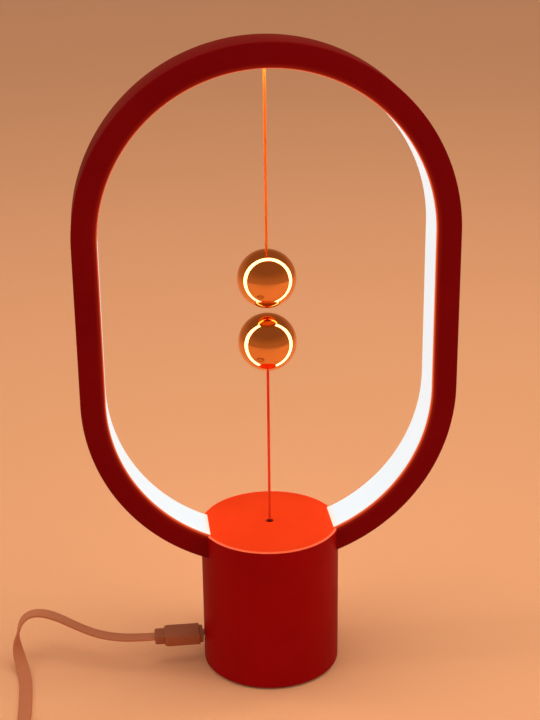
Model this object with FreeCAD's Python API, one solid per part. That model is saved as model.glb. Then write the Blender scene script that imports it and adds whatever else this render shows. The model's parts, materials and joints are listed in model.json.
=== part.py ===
import FreeCAD, Part
import math
import os

# Magnetic balance lamp: a lit stadium-shaped ring stands in a round base, and two balls with magnets
# float facing each other between two cords. Lifting the lower ball to the upper one pulls the lower
# cord up, and the cord works a switch under the base's cap. A flat USB lead plugs into the base.
# Millimetres. +Z is up, the ring lies in the XZ plane, and the origin is under the base's centre.

# Base
base_radius = 40.0
base_height = 89.1
base_wall = 2.5
base_rim_chamfer = 0.7
base_foot_round = 0.8
foot_pad_height = 1.0
foot_pad_inset = 3.0
cap_thickness = 3.2
cap_land = 1.0
bottom_cover_thickness = 2.4
bottom_shoulder = 0.8
part_gap = 0.1
cord_hole_radius = 2.15

# Ring
ring_radius = 105.0
ring_straight = 89.3
ring_width = 13.7
ring_depth = 29.3
ring_sink = 21.5
ring_web = 3.6
ring_lip = 1.3
ring_shoulder = 1.35
ring_edge_round = 0.9
ring_end_reach = 24.0
diffuser_thickness = 2.0
diffuser_proud = 0.3
diffuser_end_reach = 29.0
led_strip_width = 10.0
led_strip_thickness = 0.3
led_strip_end_reach = 26.0
led_pitch = 16.7
led_length = 3.5
led_width = 2.8
led_height = 0.8

# Balls and cords
ball_radius = 16.35
ball_wall = 1.5
ball_gap = 4.2
ball_drop = 116.2
ball_lip_height = 1.6
magnet_radius = 6.0
magnet_height = 5.0
magnet_cup_wall = 1.0
cord_radius = 0.9
cord_clearance = 0.05
knot_radius = 1.3
knot_clearance = 0.1
ball_knot_radius = 2.0

# Pull switch
pull_travel = 3.5
bush_radius = 3.9
bush_flange_radius = 5.5
bush_flange_height = 1.0
bush_recess = 0.8
frame_plate = 3.0
frame_floor_height = 2.5
frame_half_width = 14.7
frame_wall = 2.2
frame_half_depth = 9.0
frame_ear_reach = 19.5
frame_screw_reach = 17.0
frame_depth = 24.2
carriage_height = 3.0
stem_radius = 2.2
running_gap = 0.08
stop_gap = 0.1
clip_thickness = 1.0
clip_radius = 4.2
clip_groove = 0.4
spring_radius = 3.8
spring_wire = 0.35
spring_turns = 6
microswitch_length = 12.8
microswitch_width = 5.8
microswitch_height = 6.5
lever_thickness = 0.3
lever_width = 3.2
lever_arm = 11.4
lever_tail = 2.6
lever_pin_radius = 0.5
finger_radius = 0.8
button_radius = 0.7
button_travel = 0.7

# Ring cradle, ballast and circuit board
cradle_height = 6.5
cradle_window_half_width = 17.5
cradle_window_half_depth = 11.0
cradle_half_depth = 14.3
cradle_screw_inset = 4.5
cradle_screw_grip = 5.0
cap_boss_height = 3.0
ledge_height = 6.0
ledge_half_depth = 4.8
ledge_length = 9.5
ballast_height = 7.0
ballast_gap = 1.9
cover_boss_radius = 4.0
cover_boss_inset = 5.0
cover_boss_height = 18.0
cover_screw_grip = 10.0
board_screw_grip = 5.0
screw_tip_gap = 1.0
board_thickness = 1.6
board_front = 14.0
board_half_width = 16.0
board_post_radius = 3.0
port_height = 16.9
port_half_width = 5.0
port_opening_height = 4.6

# Charging plug on the lamp's end of the lead
plug_standoff = 2.9
plug_length = 21.1
plug_width = 14.5
plug_height = 6.6
plug_round = 2.4
collar_length = 2.0
collar_step = 0.9
relief_length = 5.6
relief_width = 10.3
relief_height = 5.2
tip_length = 8.3
tip_width = 6.8
tip_height = 1.8
sheet_wall = 0.3
socket_depth = 5.0
socket_setback = 0.7

# Flat lead and the plug on its far end
lead_width = 7.5
lead_thickness = 1.6
lead_length = 1500.0
coil_centre_x = -102.6
coil_centre_y = -118.0
coil_mean_radius = 39.5
coil_pitch = 2.75
far_plug_length = 19.0
far_plug_width = 15.6
far_plug_height = 8.4
far_shell_length = 12.0
far_shell_width = 12.0
far_shell_height = 4.5
far_plug_reach = 9.0
far_plug_offset = 11.0

# Each stop of the lead's route is a point and the way that the flat lead's width points there
lead_route = [
    ((-69.6, 0.0, 16.9), (0.0, 1.0, 0.0)),
    ((-80.5, 0.0, 16.9), (0.0, 1.0, 0.0)),
    ((-91.5, 2.0, 16.9), (0.0, 1.0, 0.0)),
    ((-103.0, 6.5, 17.2), (0.0, 1.0, 0.0)),
    ((-115.0, 13.0, 19.6), (0.0, 1.0, 0.0)),
    ((-127.5, 19.2, 23.8), (0.0, 1.0, 0.1)),
    ((-136.8, 22.2, 25.7), (0.0, 1.0, 0.1)),
    ((-144.0, 21.8, 25.4), (0.0, 1.0, 0.0)),
    ((-148.6, 18.9, 22.6), (0.0, 1.0, 0.0)),
    ((-150.7, 14.6, 17.7), (0.0, 1.0, 0.0)),
    ((-151.4, 9.6, 12.0), (0.4, 0.9, 0.0)),
    ((-150.0, 4.0, 6.2), (0.8, 0.6, 0.0)),
    ((-147.6, -3.6, 1.6), (0.95, 0.3, 0.0)),
    ((-146.2, -14.0, 0.8), (1.0, 0.0, 0.0)),
    ((-145.6, -28.0, 0.8), (1.0, 0.0, 0.0)),
    ((-145.5, -44.0, 0.8), (1.0, 0.0, 0.0)),
    ((-145.8, -61.0, 1.9), (0.95, 0.0, 0.25)),
    ((-147.4, -79.0, 3.9), (0.6, 0.0, 0.8)),
    ((-148.7, -95.5, 4.0), (0.0, 0.0, 1.0)),
    ((-148.9, -112.0, 4.0), (0.0, 0.0, 1.0)),
]

# Sizes that follow from those above
wall_inside = base_radius - base_wall
cap_floor = base_height - cap_thickness
ledge_inner = wall_inside - ledge_length
ballast_radius = wall_inside - ballast_gap
cover_boss_circle = wall_inside - cover_boss_inset
cap_radius = base_radius - cap_land - 0.05
ring_low = base_height - ring_sink + ring_radius
ring_high = ring_low + ring_straight
channel_depth = ring_width + diffuser_proud - diffuser_thickness
diffuser_face = ring_width + diffuser_proud
groove_half = ring_depth / 2 - ring_lip
shoulder_half = groove_half - ring_shoulder
diffuser_top = ring_high + ring_radius - diffuser_face
upper_pivot = diffuser_top - 0.6
upper_ball_z = diffuser_top - ball_drop
lower_ball_z = upper_ball_z - 2 * ball_radius - ball_gap
lower_pivot = base_height
frame_top = cap_floor - bush_flange_height
frame_underside = frame_top - frame_plate
frame_floor_top = frame_top - frame_depth + frame_floor_height
carriage_low = frame_floor_top + pull_travel + 0.3
carriage_top = carriage_low + carriage_height
cradle_low = ring_low - ring_radius - cradle_height
cover_top = foot_pad_height + bottom_cover_thickness
board_low = port_height - tip_height / 2 - sheet_wall - part_gap - board_thickness
board_top = board_low + board_thickness
plug_face = -base_radius - plug_standoff
big = 400.0

os.makedirs("parts", exist_ok=True)


def block(x0, x1, y0, y1, z0, z1):
    corner = FreeCAD.Vector(x0, y0, z0)
    return Part.makeBox(x1 - x0, y1 - y0, z1 - z0, corner)


def rod(radius, z0, z1, x=0.0, y=0.0):
    return Part.makeCylinder(radius, z1 - z0, FreeCAD.Vector(x, y, z0))


def rod_x(radius, x0, x1, y, z):
    return Part.makeCylinder(radius, x1 - x0, FreeCAD.Vector(x0, y, z), FreeCAD.Vector(1, 0, 0))


def ball(radius, z, x=0.0, y=0.0):
    return Part.makeSphere(radius, FreeCAD.Vector(x, y, z))


def save(name, *solids):
    shape = solids[0] if len(solids) == 1 else Part.makeCompound(list(solids))
    shape.exportStep("parts/" + name + ".step")


def pan_screw(x, y, head_low, head_radius, head_height, shank_radius, shank_top):
    """A screw that points up, with its head at the bottom."""
    head = rod(head_radius, head_low, head_low + head_height, x, y)
    slot_top = head_low + 0.4 * head_height
    recess = block(x - 0.35, x + 0.35, y - head_radius, y + head_radius, head_low, slot_top)
    return head.cut(recess).fuse(rod(shank_radius, head_low + head_height, shank_top, x, y))


# Ring

def stadium(depth):
    """The face inside the ring's outline, set in by depth."""
    radius = ring_radius - depth
    left_low = FreeCAD.Vector(-radius, 0, ring_low)
    left_high = FreeCAD.Vector(-radius, 0, ring_high)
    right_low = FreeCAD.Vector(radius, 0, ring_low)
    right_high = FreeCAD.Vector(radius, 0, ring_high)
    crown = FreeCAD.Vector(0, 0, ring_high + radius)
    keel = FreeCAD.Vector(0, 0, ring_low - radius)
    edges = [
        Part.LineSegment(left_low, left_high).toShape(),
        Part.Arc(left_high, crown, right_high).toShape(),
        Part.LineSegment(right_high, right_low).toShape(),
        Part.Arc(right_low, keel, left_low).toShape(),
    ]
    return Part.Face(Part.Wire(edges))


def slab(depth, half):
    """The stadium of that depth, as a slab centred on the ring's plane."""
    face = stadium(depth)
    face.translate(FreeCAD.Vector(0, -half, 0))
    return face.extrude(FreeCAD.Vector(0, 2 * half, 0))


def band(outer_depth, inner_depth, half):
    return slab(outer_depth, half).cut(slab(inner_depth, half + 1))


def bottom_gap(reach, radius):
    """The wedge under the ring's lower centre that leaves the ends reach away from the middle."""
    slope = math.tan(math.asin(reach / radius))
    low = ring_low - big
    corners = [
        FreeCAD.Vector(0, -big / 2, ring_low),
        FreeCAD.Vector(-big * slope, -big / 2, low),
        FreeCAD.Vector(big * slope, -big / 2, low),
        FreeCAD.Vector(0, -big / 2, ring_low),
    ]
    return Part.Face(Part.makePolygon(corners)).extrude(FreeCAD.Vector(0, big, 0))


def is_rim(edge):
    """Whether an edge follows the ring round, along one of its four outer corners."""
    box = edge.BoundBox
    return abs(abs(box.YMin) - ring_depth / 2) < 0.01 and box.YLength < 0.01


anchor_screw_offset = 9.4
ring_screw_reach = ring_end_reach + 4.0
ring_screw_offset = 8.0
ring_screw_radius = 1.1
hole_gap = 0.05

ring_blank = band(0, ring_width, ring_depth / 2)
ring_blank = ring_blank.makeFillet(ring_edge_round, [e for e in ring_blank.Edges if is_rim(e)])
channel = slab(ring_web, shoulder_half).fuse(slab(channel_depth, groove_half))
ring_frame = ring_blank.cut(channel).cut(bottom_gap(ring_end_reach, ring_radius))
web_top = ring_high + ring_radius - ring_web
for side in (-1, 1):
    pilot_top = web_top + 0.75 * ring_web
    pilot = rod(ring_screw_radius + hole_gap, web_top - 1, pilot_top, 0, side * anchor_screw_offset)
    ring_frame = ring_frame.cut(pilot)
    for end in (-1, 1):
        ring_underside = ring_low - math.sqrt(ring_radius ** 2 - ring_screw_reach ** 2)
        pilot = rod(
            ring_screw_radius + hole_gap,
            ring_underside - 2,
            ring_underside + 0.75 * ring_web,
            end * ring_screw_reach,
            side * ring_screw_offset,
        )
        ring_frame = ring_frame.cut(pilot)
save("ring_frame", ring_frame)

nozzle_radius = knot_radius + 0.3
diffuser = band(channel_depth, diffuser_face, groove_half - part_gap)
diffuser = diffuser.cut(bottom_gap(diffuser_end_reach, ring_radius - diffuser_face))
diffuser = diffuser.cut(rod(nozzle_radius + part_gap, diffuser_top - 3, diffuser_top + 5))
save("diffuser", diffuser)

led_strip = band(ring_web, ring_web + led_strip_thickness, led_strip_width / 2)
led_strip = led_strip.cut(bottom_gap(led_strip_end_reach, ring_radius))
save("led_strip", led_strip)


def place_on_ring(solid, travel, depth):
    """Moves a solid that stands on the origin, inner side up, to a place along the ring at that depth.

    Travel starts at the bottom and goes round by the left."""
    radius = ring_radius - depth
    quarter = radius * math.pi / 2
    if travel <= quarter:
        turn = math.degrees(travel / radius)
        centre = ring_low
        rise = 0.0
    elif travel <= quarter + ring_straight:
        turn = 90.0
        centre = ring_low
        rise = travel - quarter
    elif travel <= 3 * quarter + ring_straight:
        turn = math.degrees((travel - ring_straight) / radius)
        centre = ring_high
        rise = 0.0
    elif travel <= 3 * quarter + 2 * ring_straight:
        turn = 270.0
        centre = ring_high
        rise = -(travel - 3 * quarter - ring_straight)
    else:
        turn = math.degrees((travel - 2 * ring_straight) / radius)
        centre = ring_low
        rise = 0.0
    placed = solid.copy()
    placed.translate(FreeCAD.Vector(0, 0, -radius))
    placed.rotate(FreeCAD.Vector(0, 0, 0), FreeCAD.Vector(0, 1, 0), turn)
    placed.translate(FreeCAD.Vector(0, 0, centre + rise))
    return placed


led_floor = ring_web + led_strip_thickness + 0.02
led_radius = ring_radius - led_floor
led_path = 2 * math.pi * led_radius + 2 * ring_straight
led_start = led_radius * math.asin(led_strip_end_reach / ring_radius) + led_pitch / 2
led_count = int((led_path - 2 * led_start) / led_pitch) + 1
led = block(-led_length / 2, led_length / 2, -led_width / 2, led_width / 2, 0, led_height)
leds = []
for number in range(led_count):
    even_pitch = (led_path - 2 * led_start) / (led_count - 1)
    leds.append(place_on_ring(led, led_start + number * even_pitch, led_floor))
save("led_chips", *leds)

# Cord anchor, a saddle over the LED strip with a nozzle down to the diffuser's face

anchor_half_width = 7.0
tunnel_half = led_strip_width / 2 + 0.5
tunnel_height = led_strip_thickness + led_height + 0.6
anchor_screw_head = 1.5

anchor = band(ring_web, channel_depth - part_gap, shoulder_half - part_gap)
anchor = anchor.common(block(-anchor_half_width, anchor_half_width, -20, 20, ring_high, ring_high + 200))
anchor = anchor.cut(band(ring_web - 1, ring_web + tunnel_height, tunnel_half))
anchor_low = ring_high + ring_radius - channel_depth + part_gap
anchor = anchor.fuse(rod(nozzle_radius, diffuser_top, anchor_low + 1))
anchor = anchor.cut(ball(knot_radius + knot_clearance, upper_pivot))
anchor_screws = []
for side in (-1, 1):
    y = side * anchor_screw_offset
    anchor = anchor.cut(rod(ring_screw_radius + hole_gap, anchor_low - 1, web_top + 1, 0, y))
    anchor = anchor.cut(rod(2.1, anchor_low - 1, anchor_low + anchor_screw_head + 0.2, 0, y))
    head_low = anchor_low + 0.2
    tip = web_top + 0.6 * ring_web
    anchor_screws.append(pan_screw(0, y, head_low, 2.0, anchor_screw_head, ring_screw_radius, tip))
save("cord_anchor", anchor)
save("anchor_screws", *anchor_screws)

# Base shell, with slots that the ring lies in

shell = rod(base_radius, foot_pad_height, base_height)
top_rim = [e for e in shell.Edges if e.BoundBox.ZMin > base_height - 0.1]
shell = shell.makeChamfer(base_rim_chamfer, top_rim)
low_rim = [e for e in shell.Edges if e.BoundBox.ZMax < foot_pad_height + 0.1]
shell = shell.makeFillet(base_foot_round, low_rim)
shell = shell.cut(rod(wall_inside, 0, big))
shell = shell.cut(rod(base_radius - cap_land, cap_floor, big))
shell = shell.cut(rod(wall_inside + bottom_shoulder, 0, cover_top))
shell = shell.cut(band(-0.15, diffuser_face + part_gap, ring_depth / 2 + 0.15))
port = block(
    -base_radius - 2,
    -wall_inside + 2,
    -port_half_width,
    port_half_width,
    port_height - port_opening_height / 2,
    port_height + port_opening_height / 2,
)
port = port.makeFillet(1.4, [e for e in port.Edges if e.BoundBox.XLength > 2])
shell = shell.cut(port)

boss_angles = (0, 120, 240)
boss_places = []
for angle in boss_angles:
    turn = math.radians(angle)
    boss_places.append((cover_boss_circle * math.cos(turn), cover_boss_circle * math.sin(turn)))
inside = rod(wall_inside + 0.3, cover_top, cap_floor)
cover_screw_radius = 1.35
for x, y in boss_places:
    boss = rod(cover_boss_radius, cover_top, cover_top + cover_boss_height, x, y)
    rib = block(0, wall_inside + 0.3, -1.2, 1.2, cover_top, cover_top + cover_boss_height)
    rib = rib.cut(rod(cover_boss_circle, 0, big))
    rib.rotate(FreeCAD.Vector(0, 0, 0), FreeCAD.Vector(0, 0, 1), math.degrees(math.atan2(y, x)))
    shell = shell.fuse(boss.fuse(rib).common(inside))
    hole_top = cover_top + cover_screw_grip + screw_tip_gap
    shell = shell.cut(rod(cover_screw_radius + hole_gap, 0, hole_top, x, y))

cradle_screw_reach = wall_inside - cradle_screw_inset
for side in (-1, 1):
    x_near = min(side * ledge_inner, side * big / 2)
    x_far = max(side * ledge_inner, side * big / 2)
    ledge = block(x_near, x_far, -ledge_half_depth, ledge_half_depth, cradle_low - ledge_height, cradle_low)
    shell = shell.fuse(ledge.common(inside))
    hole_radius = ring_screw_radius + hole_gap
    hole = rod(hole_radius, cradle_low - 2 * ledge_height, cradle_low, side * cradle_screw_reach, 0)
    shell = shell.cut(hole)

lug_y = wall_inside - cover_boss_inset
lug_top = cap_floor - cap_boss_height
lug_height = 6.9
for side in (-1, 1):
    y_near = min(side * (lug_y - 4.5), side * big / 2)
    y_far = max(side * (lug_y - 4.5), side * big / 2)
    lug = block(-4.5, 4.5, y_near, y_far, lug_top - lug_height, lug_top)
    shell = shell.fuse(lug.common(inside))
    shell = shell.cut(rod(cover_screw_radius + hole_gap, lug_top - 2 * lug_height, lug_top, 0, side * lug_y))
save("base_shell", shell.removeSplitter())

# Cap that closes the base over the ring's ends

cap = rod(cap_radius, cap_floor, base_height)
for side in (-1, 1):
    cap = cap.fuse(rod(4.4, lug_top, cap_floor, 0, side * lug_y))
cap = cap.cut(band(-0.15, diffuser_face + 0.06, ring_depth / 2 + 0.15))
cap_edge = math.sqrt((ring_radius - diffuser_face) ** 2 - (ring_low - base_height + 0.25) ** 2)
for side in (-1, 1):
    x_near = min(side * cap_edge, side * big / 2)
    x_far = max(side * cap_edge, side * big / 2)
    cap = cap.cut(block(x_near, x_far, -ring_depth / 2 - 0.15, ring_depth / 2 + 0.15, 0, big))
cap = cap.cut(rod(cord_hole_radius, cap_floor - 1, base_height + 1))
cap = cap.cut(rod(bush_radius + hole_gap, cap_floor - 1, base_height - bush_recess))
for side in (-1, 1):
    hole_top = cap_floor + 0.55 * cap_thickness
    cap = cap.cut(rod(cover_screw_radius + hole_gap, lug_top, hole_top, 0, side * lug_y))
    frame_screw_x = side * frame_screw_reach
    cap = cap.cut(rod(ring_screw_radius + hole_gap, cap_floor - 1, cap_floor + 2.2, frame_screw_x, 0))
save("top_cap", cap)

cap_screws = []
for side in (-1, 1):
    head_low = lug_top - lug_height - 1.6
    screw_top = cap_floor + 0.45 * cap_thickness
    cap_screws.append(pan_screw(0, side * lug_y, head_low, 2.6, 1.6, cover_screw_radius, screw_top))
save("cap_screws", *cap_screws)

bush = rod(bush_radius, cap_floor, base_height - bush_recess)
bush = bush.fuse(rod(bush_flange_radius, frame_top, cap_floor))
bush = bush.cut(rod(cord_hole_radius, frame_top - 1, base_height))
save("guide_bush", bush)

# Ring cradle

ring_under = 0.05
cradle = block(-wall_inside, wall_inside, -cradle_half_depth, cradle_half_depth, cradle_low, base_height)
cradle = cradle.common(rod(wall_inside - 0.2, 0, big)).cut(slab(-ring_under, 30))
cradle = cradle.cut(
    block(
        -cradle_window_half_width,
        cradle_window_half_width,
        -cradle_window_half_depth,
        cradle_window_half_depth,
        0,
        big,
    )
)
ring_screws = []
cradle_screws = []
for side in (-1, 1):
    for row in (-1, 1):
        x = side * ring_screw_reach
        y = row * ring_screw_offset
        cradle = cradle.cut(rod(ring_screw_radius + hole_gap, 0, big, x, y))
        head_low = cradle_low - 1.6
        tip = ring_low - math.sqrt(ring_radius ** 2 - ring_screw_reach ** 2) + 0.6 * ring_web
        ring_screws.append(pan_screw(x, y, head_low, 2.1, 1.6, ring_screw_radius, tip))
    x = side * cradle_screw_reach
    cradle = cradle.cut(rod(hole_radius, 0, cradle_low + cradle_screw_grip + screw_tip_gap, x, 0))
    head_low = cradle_low - ledge_height - 1.6
    tip = cradle_low + cradle_screw_grip
    cradle_screws.append(pan_screw(x, 0, head_low, 2.1, 1.6, ring_screw_radius, tip))
save("ring_cradle", cradle)
save("ring_end_screws", *ring_screws)
save("cradle_screws", *cradle_screws)

# Bottom: cover, ballast, foot pad

cover = rod(wall_inside + bottom_shoulder - part_gap, foot_pad_height, cover_top)
board_posts = ((-24.0, 11.0), (-24.0, -11.0), (8.0, 11.0), (8.0, -11.0))
board_screw_radius = 1.0
for x, y in board_posts:
    cover = cover.fuse(rod(board_post_radius, cover_top, board_low, x, y))
    hole_low = board_low - board_screw_grip - screw_tip_gap
    cover = cover.cut(rod(board_screw_radius + hole_gap, hole_low, board_low, x, y))
cover_screws = []
for x, y in boss_places:
    cover = cover.cut(rod(cover_screw_radius + hole_gap, 0, big, x, y))
    cover = cover.cut(rod(2.9, 0, foot_pad_height + 1.5, x, y))
    screw_top = cover_top + cover_screw_grip
    cover_screws.append(pan_screw(x, y, foot_pad_height + 0.1, 2.8, 1.3, cover_screw_radius, screw_top))
save("bottom_cover", cover)
save("cover_screws", *cover_screws)

ballast = rod(ballast_radius, cover_top, cover_top + ballast_height)
for x, y in boss_places:
    ballast = ballast.cut(rod(cover_boss_radius + 0.5, 0, big, x, y))
    ballast = ballast.cut(rod(cover_boss_radius + 0.5, 0, big, x * 1.15, y * 1.15))
for x, y in board_posts:
    ballast = ballast.cut(rod(board_post_radius + 0.4, 0, big, x, y))
save("ballast_weight", ballast)

foot_pad = rod(base_radius - foot_pad_inset, 0, foot_pad_height)
save("foot_pad", foot_pad)

# Circuit board and charging socket

board = block(-wall_inside, board_front, -board_half_width, board_half_width, board_low, board_top)
board = board.common(rod(wall_inside - 0.5, 0, big))
board_screws = []
for x, y in board_posts:
    board = board.cut(rod(board_screw_radius + hole_gap, 0, big, x, y))
    screw = rod(board_screw_radius, board_low - board_screw_grip, board_top, x, y)
    screw = screw.fuse(rod(1.9, board_top, board_top + 1.3, x, y))
    screw = screw.cut(block(x - 0.3, x + 0.3, y - 2, y + 2, board_top + 0.8, board_top + 2))
    board_screws.append(screw)
save("control_board", board)
save("board_screws", *board_screws)

socket_front = -base_radius + socket_setback
socket_back = socket_front + socket_depth
socket_half_width = tip_width / 2 + part_gap
socket_half_height = tip_height / 2 + part_gap
socket = block(
    socket_front,
    socket_back,
    -socket_half_width - sheet_wall,
    socket_half_width + sheet_wall,
    board_top,
    port_height + socket_half_height + sheet_wall,
)
socket = socket.cut(
    block(
        socket_front - 1,
        socket_back - sheet_wall,
        -socket_half_width,
        socket_half_width,
        port_height - socket_half_height,
        port_height + socket_half_height,
    )
)
save("usb_socket_shell", socket)
tongue_back = socket_back - sheet_wall
tongue = block(socket_front + 0.8, tongue_back, -1.9, 1.9, port_height + 0.05, port_height + 0.4)
save("usb_socket_tongue", tongue)

regulator = block(-8, -3, -3, 3, board_top, board_top + 1.6)
coil_choke = rod(3.0, board_top, board_top + 3.2, 2.5, 4.0)
capacitor = rod(2.5, board_top, board_top + 5.5, -14.0, -6.0)
connector = block(-16, -8, 8, 12, board_top, board_top + 4.5)
save("board_parts", regulator, coil_choke, capacitor, connector)

# Pull switch

frame_low = frame_top - frame_depth
frame_back = -frame_half_depth
frame_front = frame_half_depth
frame = block(-frame_ear_reach, frame_ear_reach, frame_back, frame_front, frame_underside, frame_top)
outer_wall = block(-frame_half_width, frame_half_width, frame_back, frame_front, frame_low, frame_top)
inner_half = frame_half_width - frame_wall
window_half = frame_half_depth + 1
window = block(-inner_half, inner_half, -window_half, window_half, frame_floor_top, frame_underside)
frame = frame.fuse(outer_wall.cut(window))
frame = frame.cut(rod(cord_hole_radius, 0, big))
frame = frame.cut(rod(stem_radius + running_gap, 0, frame_floor_top + 1))
frame_screws = []
for side in (-1, 1):
    x = side * frame_screw_reach
    frame = frame.fuse(rod(2.4, frame_top - 0.5, cap_floor, x, 0))
    frame = frame.cut(rod(ring_screw_radius + hole_gap, frame_underside - 1, cap_floor + 1, x, 0))
    head_low = frame_underside - 1.5
    frame_screws.append(pan_screw(x, 0, head_low, 2.0, 1.5, ring_screw_radius, cap_floor + 2.0))

switch_right = inner_half - part_gap
switch_left = switch_right - microswitch_width
switch_mid = (switch_left + switch_right) / 2
lever_half = lever_width / 2
finger_y = 6.0
finger_top = carriage_top + finger_radius + 0.7
lever_low = finger_top + part_gap
lever_top = lever_low + lever_thickness
pin_y = finger_y - lever_arm
pin_z = lever_low
case_low = lever_top + 0.6
case_back = pin_y - 1.2
case_front = case_back + microswitch_length
case_top = case_low + microswitch_height
case = block(switch_left, switch_right, case_back, case_front, case_low, case_top)
for ear in (switch_left, switch_right - 0.9):
    lug = block(ear, ear + 0.9, pin_y - 1.1, pin_y + 1.1, pin_z - 1.1, case_low + 1)
    case = case.fuse(lug)
case = case.cut(rod_x(lever_pin_radius + 0.02, 0, 30, pin_y, pin_z))
button_y = pin_y + 6.6
case = case.cut(rod(button_radius + running_gap, case_low - 1, case_low + 2.6, switch_mid, button_y))
mount_places = (case_back + 3.0, case_back + 9.5)
mount_z = case_top - 1.8
switch_screws = []
for y in mount_places:
    case = case.cut(rod_x(ring_screw_radius + hole_gap, 0, 30, y, mount_z))
    frame = frame.cut(rod_x(ring_screw_radius + hole_gap, 10, 30, y, mount_z))
    screw = rod_x(ring_screw_radius, switch_left + 0.4, frame_half_width, y, mount_z)
    head = rod_x(1.9, frame_half_width, frame_half_width + 1.2, y, mount_z)
    switch_screws.append(screw.fuse(head))
terminals = []
for number in range(3):
    y = case_back + 1.9 + 4.5 * number
    terminals.append(block(switch_mid - 1.6, switch_mid + 1.6, y - 0.25, y + 0.25, case_top, case_top + 1.9))
save("switch_frame", frame)
save("switch_frame_screws", *frame_screws)
save("microswitch_case", case)
save("microswitch_terminals", *terminals)
save("microswitch_screws", *switch_screws)
save("lever_pin", rod_x(lever_pin_radius, switch_left, switch_right, pin_y, pin_z))

button = rod(button_radius, lever_top + 0.05, case_low + 1.7, switch_mid, button_y)
save("microswitch_button", button)

eye_radius = lever_pin_radius + 0.3
lever_left = switch_mid - lever_half
lever_right = switch_mid + lever_half
leaf = block(lever_left, lever_right, pin_y, finger_y + lever_tail, lever_low, lever_top)
leaf = leaf.fuse(rod_x(eye_radius, lever_left, lever_right, pin_y, pin_z))
leaf = leaf.cut(rod_x(lever_pin_radius + running_gap / 2, 0, 30, pin_y, pin_z))
save("microswitch_lever", leaf)

carriage_half = inner_half - 0.2
carriage_back = -frame_half_depth + 2.0
carriage_front = frame_half_depth - 1.2
carriage = block(-carriage_half, carriage_half, carriage_back, carriage_front, carriage_low, carriage_top)
spring_seat = carriage_top
carriage = carriage.fuse(rod(2.4, carriage_top - 1, carriage_top + 3))
stem_low = frame_low - stop_gap - clip_thickness - 2.4
carriage = carriage.fuse(rod(stem_radius, stem_low, carriage_low + 1))
clip_top = frame_low - stop_gap
groove = rod(stem_radius + 1, clip_top - clip_thickness - hole_gap, clip_top + hole_gap)
groove = groove.cut(rod(stem_radius - clip_groove, 0, big))
carriage = carriage.cut(groove)
finger_left = switch_mid - lever_half
finger_right = switch_mid + lever_half
finger_z = finger_top - finger_radius
finger_back = finger_y - finger_radius
finger_front = finger_y + finger_radius
post = block(finger_left, finger_right, finger_back, finger_front, carriage_top - 0.5, finger_z)
post = post.fuse(rod_x(finger_radius, finger_left, finger_right, finger_y, finger_z))
carriage = carriage.fuse(post)
tail_low = carriage_top - 1.5
carriage = carriage.cut(rod(cord_radius + cord_clearance, tail_low - 0.1, big))
save("switch_carriage", carriage)

clip = rod(clip_radius, clip_top - clip_thickness, clip_top)
clip = clip.cut(rod(stem_radius - clip_groove + 0.02, 0, big))
clip = clip.cut(block(-1.2, 1.2, 0, 10, 0, big))
save("retaining_clip", clip)

coil_low = spring_seat + spring_wire + 0.05
coil_high = frame_underside - spring_wire - 0.05
helix = Part.makeHelix((coil_high - coil_low) / spring_turns, coil_high - coil_low, spring_radius)
circle = Part.Circle(FreeCAD.Vector(spring_radius, 0, 0), FreeCAD.Vector(0, 1, 0), spring_wire)
section = Part.Wire(circle.toShape())
spring = Part.Wire(helix).makePipeShell([section], True, True)
spring.translate(FreeCAD.Vector(0, 0, coil_low))
save("return_spring", spring)

# Cords and balls

knot_reach = knot_radius + 0.05
lower_tail = rod(cord_radius, tail_low, lower_pivot - knot_reach)
save("lower_cord_tail", lower_tail)
save("lower_cord_knot", ball(knot_radius, lower_pivot))
save("upper_cord_knot", ball(knot_radius, upper_pivot))


def magnet_ball(name, centre, side):
    """A hollow ball of two halves. The cord enters on the side given, and the magnet faces the other."""
    outer = ball(ball_radius, centre)
    hollow = ball(ball_radius - ball_wall, centre)
    lip_middle = ball_radius - ball_wall / 2
    above = block(-big, big, -big, big, min(centre, centre + side * big), max(centre, centre + side * big))
    lip_low = centre - side * ball_lip_height
    lip_zone = rod(lip_middle - 0.03, min(centre, lip_low), max(centre, lip_low))
    lip_hole = rod(lip_middle + 0.03, min(centre, lip_low) - 0.03, max(centre, lip_low) + 0.03)
    wall = outer.cut(hollow)
    cord_half = wall.common(above.fuse(lip_zone))
    bore_low = centre + side * (ball_radius - 4 * ball_wall)
    bore_high = centre + side * (ball_radius + 2)
    bore = rod(cord_radius + cord_clearance, min(bore_low, bore_high), max(bore_low, bore_high))
    cord_half = cord_half.cut(bore)
    pocket_floor = centre - side * (ball_radius - ball_wall - 1.3)
    cup_low = centre - side * ball_radius
    cup_high = pocket_floor + side * (magnet_height + 0.8)
    cup = rod(magnet_radius + magnet_cup_wall, min(cup_low, cup_high), max(cup_low, cup_high))
    cup = cup.common(ball(ball_radius - ball_wall / 2, centre))
    magnet_half = wall.cut(above).cut(lip_hole).fuse(cup)
    pocket_high = pocket_floor + side * 20
    pocket = rod(magnet_radius + hole_gap, min(pocket_floor, pocket_high), max(pocket_floor, pocket_high))
    magnet_half = magnet_half.cut(pocket)
    magnet_high = pocket_floor + side * magnet_height
    magnet = rod(magnet_radius, min(pocket_floor, magnet_high), max(pocket_floor, magnet_high))
    save(name + "_ball_cord_half", cord_half)
    save(name + "_ball_magnet_half", magnet_half)
    save(name + "_ball_magnet", magnet)
    inner_pole = centre + side * (ball_radius - ball_wall)
    return inner_pole - side * (ball_knot_radius + 0.15)


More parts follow.
